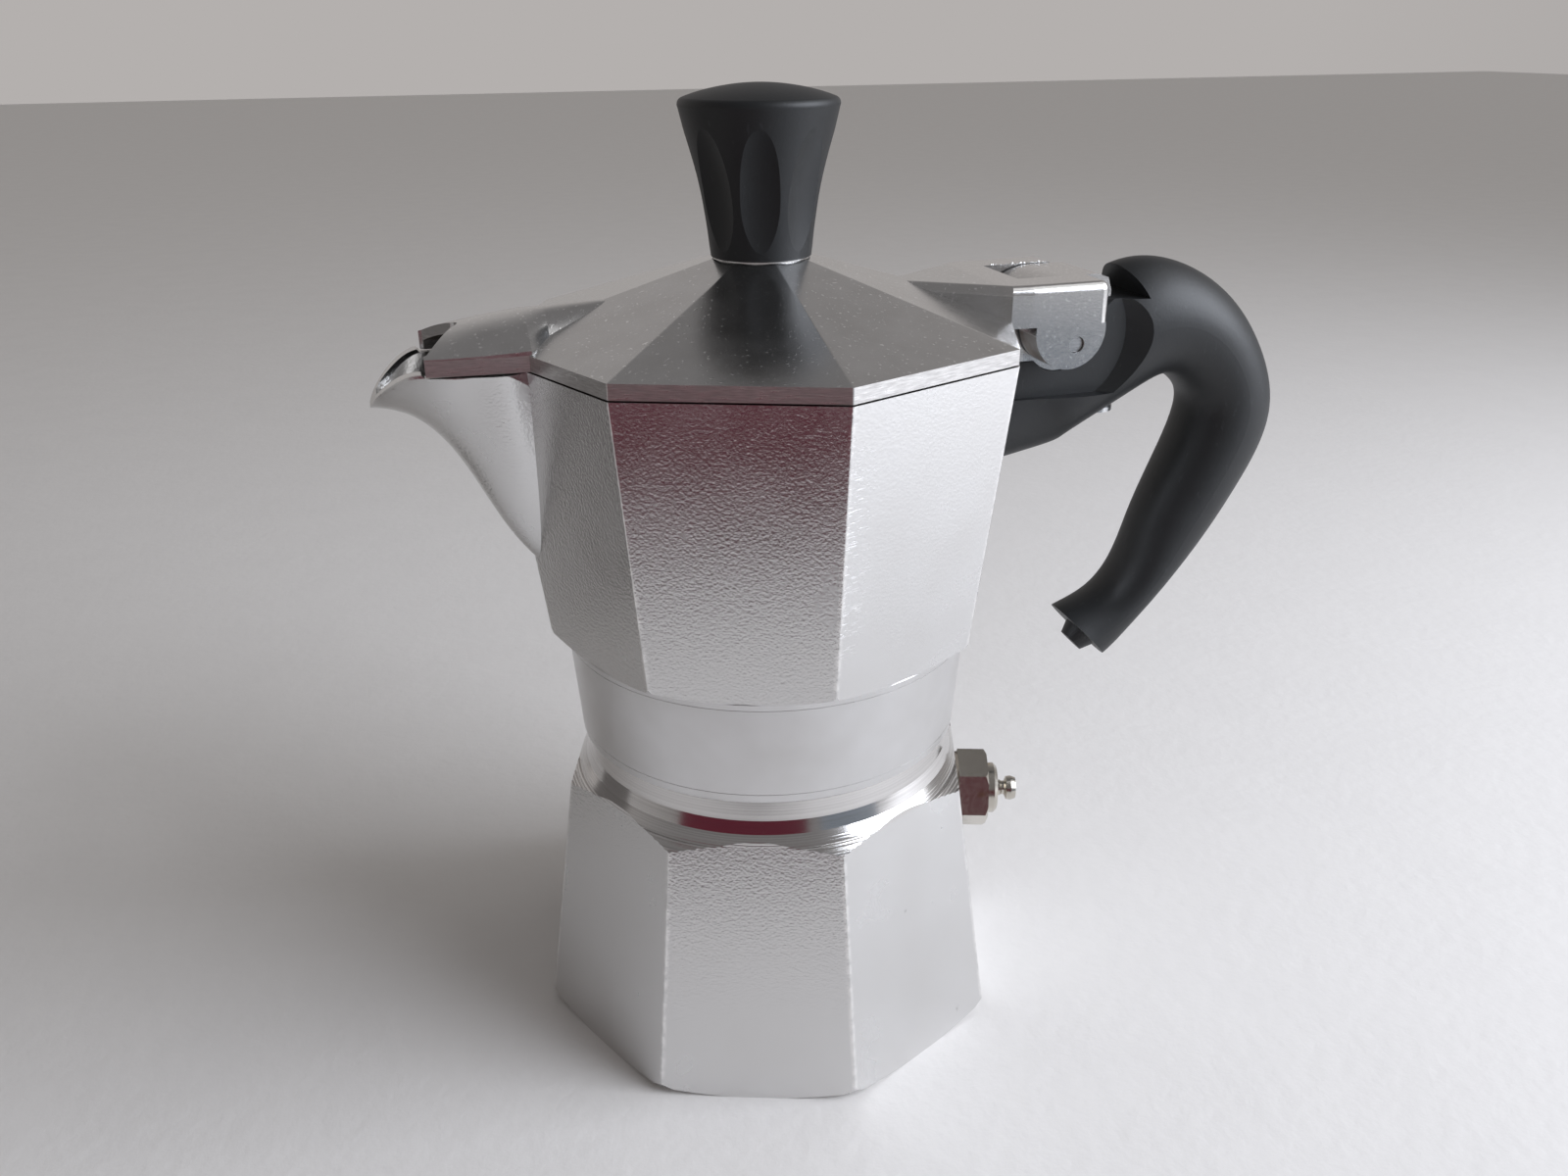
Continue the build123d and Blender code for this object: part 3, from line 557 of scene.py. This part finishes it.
def finish_tree(tree, shape, given, result):
    """End a tree: turn its instances into real mesh, give it the material and pass it out."""
    solid = add(tree, "GeometryNodeRealizeInstances", {"Geometry": shape})
    inputs = {"Geometry": solid, "Material": given.outputs["Material"]}
    painted = add(tree, "GeometryNodeSetMaterial", inputs)
    tree.links.new(painted.outputs["Geometry"], result.inputs["Geometry"])


def make_piece(name, tree, values, body):
    """Run a tree once, keep its result as a plain mesh at the origin, and let it ride on a body."""
    carrier = bpy.data.objects.new(name + "_carrier", bpy.data.meshes.new(name + "_carrier"))
    bpy.context.scene.collection.objects.link(carrier)
    modifier = carrier.modifiers.new(name, "NODES")
    modifier.node_group = tree
    for item in tree.interface.items_tree:
        if item.in_out == "INPUT" and item.name in values:
            modifier[item.identifier] = values[item.name]
    graph = bpy.context.evaluated_depsgraph_get()
    mesh = bpy.data.meshes.new_from_object(carrier.evaluated_get(graph))
    mesh.name = name
    carrier.modifiers.remove(modifier)
    bpy.data.objects.remove(carrier)
    if not mesh.polygons:
        raise RuntimeError(f"{name} came out empty")
    piece = bpy.data.objects.new(name, mesh)
    bpy.context.scene.collection.objects.link(piece)
    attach(piece, body)


def thread_tree():
    """A rounded helical ridge: a spiral line with a small circle swept along it."""
    tree, given, result = new_tree("screw_thread", {
        "Radius": "NodeSocketFloat", "Ridge": "NodeSocketFloat", "Pitch": "NodeSocketFloat",
        "Low": "NodeSocketFloat", "Height": "NodeSocketFloat", "Material": "NodeSocketMaterial",
    })
    ratio = {0: given.outputs["Height"], 1: given.outputs["Pitch"]}
    turns = add(tree, "ShaderNodeMath", ratio, operation="DIVIDE")
    spiral = add(tree, "GeometryNodeCurveSpiral", {
        "Resolution": 96, "Rotations": turns, "Start Radius": given.outputs["Radius"],
        "End Radius": given.outputs["Radius"], "Height": given.outputs["Height"],
    })
    lift = add(tree, "ShaderNodeCombineXYZ", {"Z": given.outputs["Low"]})
    placed = add(tree, "GeometryNodeTransform", {"Geometry": spiral, "Translation": lift})
    ridge = {"Resolution": 10, "Radius": given.outputs["Ridge"]}
    section = add(tree, "GeometryNodeCurvePrimitiveCircle", ridge)
    sweep = {"Curve": placed, "Profile Curve": section, "Fill Caps": True}
    swept = add(tree, "GeometryNodeCurveToMesh", sweep)
    finish_tree(tree, swept, given, result)
    return tree


def bead_tree():
    """A row of small uneven beads along a line, like the specks that a casting's edge keeps."""
    tree, given, result = new_tree("edge_beads", {
        "Start": "NodeSocketVector", "End": "NodeSocketVector", "Count": "NodeSocketInt",
        "Size": "NodeSocketFloat", "Scatter": "NodeSocketFloat", "Material": "NodeSocketMaterial",
    })
    line = add(tree, "GeometryNodeMeshLine", {
        "Count": given.outputs["Count"],
        "Start Location": given.outputs["Start"], "Offset": given.outputs["End"],
    }, mode="END_POINTS", count_mode="TOTAL")
    scatter = given.outputs["Scatter"]
    low = add(tree, "ShaderNodeVectorMath", {0: scatter, 1: (-1.0, -0.2, -0.4)}, operation="MULTIPLY")
    high = add(tree, "ShaderNodeVectorMath", {0: scatter, 1: (1.0, 0.3, 0.4)}, operation="MULTIPLY")
    spread = {"Min": low, "Max": high, "Seed": 7}
    offset = add(tree, "FunctionNodeRandomValue", spread, data_type="FLOAT_VECTOR")
    moved = add(tree, "GeometryNodeSetPosition", {"Geometry": line, "Offset": offset})
    bead = add(tree, "GeometryNodeMeshIcoSphere", {"Radius": given.outputs["Size"], "Subdivisions": 2})
    scale = add(tree, "FunctionNodeRandomValue", {
        "Min": (0.5, 0.4, 0.4), "Max": (1.6, 1.0, 1.1), "Seed": 11,
    }, data_type="FLOAT_VECTOR")
    beads = {"Points": moved, "Instance": bead, "Scale": scale}
    copies = add(tree, "GeometryNodeInstanceOnPoints", beads)
    finish_tree(tree, copies, given, result)
    return tree


def bare_cut_aluminium(name):
    """Freshly cut or broken aluminium: bright, slightly rough."""
    s = Surface(name, Metallic=1.0)
    cloud = noise(s, 0.6, detail=2.0)
    s.set(Base_Color=blend_colour(s, cloud, linear("#D2D1D0"), linear("#F2F2F1")))
    s.set(Roughness=blend(s, cloud, 0.18, 0.32))
    s.relief(cloud, 0.01)
    return s.material


# ---------------------------------------------------------------- operators

class MOKA_OT_castings(bpy.types.Operator):
    """Finish the three aluminium castings: boiler, upper chamber and lid"""
    bl_idname = "moka.castings"
    bl_label = "Finish the castings"

    def execute(self, context):
        finish = context.scene.moka_finish
        boiler_aluminium(finish).paint(["boiler"])
        chamber_aluminium(finish).paint(["upper_chamber"])
        lid_aluminium(finish).paint(["lid"])
        return {"FINISHED"}


class MOKA_OT_pressed_parts(bpy.types.Operator):
    """Finish the funnel, its screen, the filter plate and the coffee column"""
    bl_idname = "moka.pressed_parts"
    bl_label = "Finish the pressed parts"

    def execute(self, context):
        pressed_aluminium().paint(["funnel", "funnel_screen", "filter_plate", "coffee_column"])
        return {"FINISHED"}


class MOKA_OT_mouldings(bpy.types.Operator):
    """Finish the black handle and knob"""
    bl_idname = "moka.mouldings"
    bl_label = "Finish the handle and knob"

    def execute(self, context):
        moulded_phenolic(context.scene.moka_finish).paint(["handle", "knob"])
        return {"FINISHED"}


class MOKA_OT_valve(bpy.types.Operator):
    """Finish the safety valve"""
    bl_idname = "moka.valve"
    bl_label = "Finish the safety valve"

    def execute(self, context):
        plated_brass().paint(["valve_body", "valve_cap", "valve_stem"])
        spring_wire().paint(["valve_spring"])
        pressed_fibre().paint(["valve_washer"])
        return {"FINISHED"}


class MOKA_OT_fasteners(bpy.types.Operator):
    """Finish the hinge pin, the screws and the knob's washer"""
    bl_idname = "moka.fasteners"
    bl_label = "Finish the pin and screws"

    def execute(self, context):
        zinc_steel().paint(["hinge_pin", "knob_screw", "knob_washer", "handle_screw"])
        return {"FINISHED"}


class MOKA_OT_seals(bpy.types.Operator):
    """Finish the sealing ring and the valve's seal"""
    bl_idname = "moka.seals"
    bl_label = "Finish the seals"

    def execute(self, context):
        silicone().paint(["gasket", "valve_seal"])
        return {"FINISHED"}


class MOKA_OT_threads(bpy.types.Operator):
    """Make the screw thread on the boiler and the one inside the band"""
    bl_idname = "moka.threads"
    bl_label = "Make the screw threads"

    def execute(self, context):
        thread = context.scene.moka_thread
        tree = thread_tree()
        material = bare_cut_aluminium("cut_thread_aluminium")
        shared = {
            "Pitch": thread.pitch, "Low": THREAD_LOW_Z * MM,
            "Height": (THREAD_HIGH_Z - THREAD_LOW_Z) * MM, "Material": material,
        }
        outer = {**shared, "Radius": (BOILER_THREAD_RADIUS - BOILER_SINK) * MM, "Ridge": thread.boiler_ridge}
        inner = {**shared, "Radius": (BAND_THREAD_RADIUS + BAND_SINK) * MM, "Ridge": thread.band_ridge}
        make_piece("boiler_thread", tree, outer, "boiler")
        make_piece("band_thread", tree, inner, "chamber")
        return {"FINISHED"}


class MOKA_OT_beads(bpy.types.Operator):
    """Make the small bright specks along the hinge slot's edge"""
    bl_idname = "moka.beads"
    bl_label = "Make the hinge's edge specks"

    def execute(self, context):
        values = {
            "Start": (EDGE_FRONT_X * MM, EDGE_Y * MM, EDGE_Z * MM),
            "End": (EDGE_BACK_X * MM, EDGE_Y * MM, EDGE_Z * MM),
            "Count": BEAD_COUNT, "Size": BEAD_RADIUS * MM, "Scatter": BEAD_SCATTER * MM,
            "Material": bare_cut_aluminium("broken_edge_aluminium"),
        }
        make_piece("hinge_edge_specks", bead_tree(), values, "lid")
        return {"FINISHED"}


def flat_sheet(name, centre, size, facing, material):
    """A flat rectangle in millimetres, turned to face a direction, with its place in its mesh."""
    normal = Vector(facing).normalized()
    turn = normal.to_track_quat("Z", "Y").to_matrix()
    corners = [(-1, -1), (1, -1), (1, 1), (-1, 1)]
    half_width, half_height = (side / 2 * MM for side in size)
    points = [
        Vector(centre) * MM + turn @ Vector((a * half_width, b * half_height, 0)) for a, b in corners
    ]
    mesh = bpy.data.meshes.new(name)
    mesh.from_pydata(points, [], [(0, 1, 2, 3)])
    mesh.materials.append(material)
    sheet = bpy.data.objects.new(name, mesh)
    bpy.context.scene.collection.objects.link(sheet)
    return sheet


def pale_plaster(colour):
    """Smooth pale plaster: almost even, with a faint mottle."""
    s = Surface("pale_plaster_floor", IOR=1.45)
    cloud = noise(s, 14.0, detail=5.0)
    s.set(Base_Color=blend_colour(s, cloud, colour, linear("#E0DDDA")))
    s.set(Roughness=blend(s, cloud, 0.66, 0.78))
    s.relief(noise(s, 3.0, detail=4.0), 0.12)
    return s.material


def glow(name, hex_colour, strength):
    """An even glow, for a card that only shows in reflections."""
    material = bpy.data.materials.new(name)
    material.use_nodes = True
    tree = material.node_tree
    tree.nodes.clear()
    lamp = add(tree, "ShaderNodeEmission", {"Color": linear(hex_colour), "Strength": strength})
    output = add(tree, "ShaderNodeOutputMaterial")
    tree.links.new(lamp.outputs["Emission"], output.inputs["Surface"])
    return material


# Cards that only the pot's reflections show: name, centre, size, facing, colour, brightness
CARDS = (
    ("card_front_dark", (-80, -124, 9), (200, 18), (0.42, 0.9, 0.0), "#38302F", 1.0),
    ("card_front_maroon", (-80, -124, 49), (200, 62), (0.42, 0.9, 0.0), "#5C2632", 1.0),
    ("card_front_right", (120, -215, 30), (150, 60), (-0.3, 1.0, 0.0), "#7A828C", 1.0),
    ("card_left", (-126, 44, 30), (60, 130), (1.0, -0.5, 0.0), "#646160", 1.0),
)


def light_world(scene):
    """Grey room light: paler low at the back, darker overhead and in front."""
    world = bpy.data.worlds.new("room")
    world.use_nodes = True
    tree = world.node_tree
    tree.nodes.clear()
    direction = add(tree, "ShaderNodeTexCoord")
    parts = add(tree, "ShaderNodeSeparateXYZ", {0: direction.outputs["Generated"]})
    behind = add(tree, "ShaderNodeMapRange", {"Value": parts.outputs["Y"], "From Min": -0.3, "From Max": 0.8})
    low = add(tree, "ShaderNodeMapRange", {"Value": parts.outputs["Z"], "From Min": 0.75, "From Max": 0.35})
    share = add(tree, "ShaderNodeMath", {0: behind, 1: low}, operation="MULTIPLY")
    colour = add(tree, "ShaderNodeMix", {
        "Factor": share, "A_Color": linear("#7C7A7A"), "B_Color": linear("#B4B0AE"),
    }, data_type="RGBA")
    background = add(tree, "ShaderNodeBackground", {"Color": colour, "Strength": 1.0})
    output = add(tree, "ShaderNodeOutputWorld")
    tree.links.new(background.outputs["Background"], output.inputs["Surface"])
    scene.world = world


def add_area_light(name, place, size, power, hex_colour):
    """A soft rectangular light in millimetres, turned towards the middle of the pot."""
    data = bpy.data.lights.new(name, "AREA")
    data.shape = "RECTANGLE"
    data.size, data.size_y = (side * MM for side in size)
    data.energy = power
    data.color = linear(hex_colour)[:3]
    lamp = bpy.data.objects.new(name, data)
    place, aim = Vector(place) * MM, Vector((0, 0, POT_MIDDLE_Z)) * MM
    lamp.location = place
    lamp.rotation_euler = (aim - place).to_track_quat("-Z", "Y").to_euler()
    bpy.context.scene.collection.objects.link(lamp)


def add_sky_light(name, towards, strength, spread):
    """Even daylight from one direction, with very soft shadows."""
    data = bpy.data.lights.new(name, "SUN")
    data.energy = strength
    data.angle = spread
    lamp = bpy.data.objects.new(name, data)
    lamp.rotation_euler = Vector(towards).to_track_quat("Z", "Y").to_euler()
    bpy.context.scene.collection.objects.link(lamp)


class MOKA_OT_stage(bpy.types.Operator):
    """Make the pale floor, the soft light, the reflection cards and the camera"""
    bl_idname = "moka.stage"
    bl_label = "Make the studio"

    def execute(self, context):
        scene, stage = context.scene, context.scene.moka_stage
        scene.view_settings.view_transform = "Standard"
        light_world(scene)
        flat_sheet("floor", (0, 0, 0), (6000, 6000), (0, 0, 1), pale_plaster(stage.floor_colour))
        for name, centre, size, facing, colour, strength in CARDS:
            card = flat_sheet(name, centre, size, facing, glow(name, colour, strength))
            card.visible_camera = False
            card.visible_diffuse = False
            card.visible_shadow = False
        add_area_light("window", (430, -270, 310), (460, 420), stage.window_power, "#EEF4FF")
        add_sky_light("daylight", (0.8, -0.2, 0.7), stage.daylight, math.radians(60))
        self.add_camera(scene, stage)
        return {"FINISHED"}

    def add_camera(self, scene, stage):
        level = math.cos(stage.elevation)
        forward = Vector((
            -math.sin(stage.azimuth) * level, math.cos(stage.azimuth) * level, -math.sin(stage.elevation),
        ))
        sideways = Vector((math.cos(stage.azimuth), math.sin(stage.azimuth), 0))
        upright = sideways.cross(forward)
        across = sideways * math.cos(stage.roll) + upright * math.sin(stage.roll)
        data = bpy.data.cameras.new("camera")
        data.lens = stage.focal_length
        data.sensor_width = 36
        data.clip_start = 0.01
        camera = bpy.data.objects.new("camera", data)
        axes = Matrix((across, (-forward).cross(across), -forward)).transposed()
        place = Vector(stage.target) - forward * stage.distance
        camera.matrix_world = Matrix.Translation(place) @ axes.to_4x4()
        scene.collection.objects.link(camera)
        scene.camera = camera


class MOKA_PT_panel(bpy.types.Panel):
    """The pot's settings and its making steps"""
    bl_idname = "MOKA_PT_panel"
    bl_label = "Moka pot"
    bl_space_type = "VIEW_3D"
    bl_region_type = "UI"
    bl_category = "Moka pot"

    def draw(self, context):
        layout = self.layout
        for settings in (context.scene.moka_finish, context.scene.moka_thread, context.scene.moka_stage):
            box = layout.box()
            for name in settings.bl_rna.properties.keys():
                if name not in ("rna_type", "name"):
                    box.prop(settings, name)
        for operator in OPERATORS:
            layout.operator(operator.bl_idname)


OPERATORS = (
    MOKA_OT_castings, MOKA_OT_pressed_parts, MOKA_OT_mouldings, MOKA_OT_valve, MOKA_OT_fasteners,
    MOKA_OT_seals, MOKA_OT_threads, MOKA_OT_beads, MOKA_OT_stage,
)
CLASSES = (PotFinishSettings, PotThreadSettings, PotStageSettings, *OPERATORS, MOKA_PT_panel)
POINTERS = {
    "moka_finish": PotFinishSettings,
    "moka_thread": PotThreadSettings,
    "moka_stage": PotStageSettings,
}


def register():
    for item in CLASSES:
        bpy.utils.register_class(item)
    for name, group in POINTERS.items():
        setattr(bpy.types.Scene, name, bpy.props.PointerProperty(type=group))


def unregister():
    for name in POINTERS:
        delattr(bpy.types.Scene, name)
    for item in reversed(CLASSES):
        bpy.utils.unregister_class(item)


def main():
    register()
    for operator in OPERATORS:
        group, name = operator.bl_idname.split(".")
        getattr(getattr(bpy.ops, group), name)()


if __name__ == "__main__":
    main()
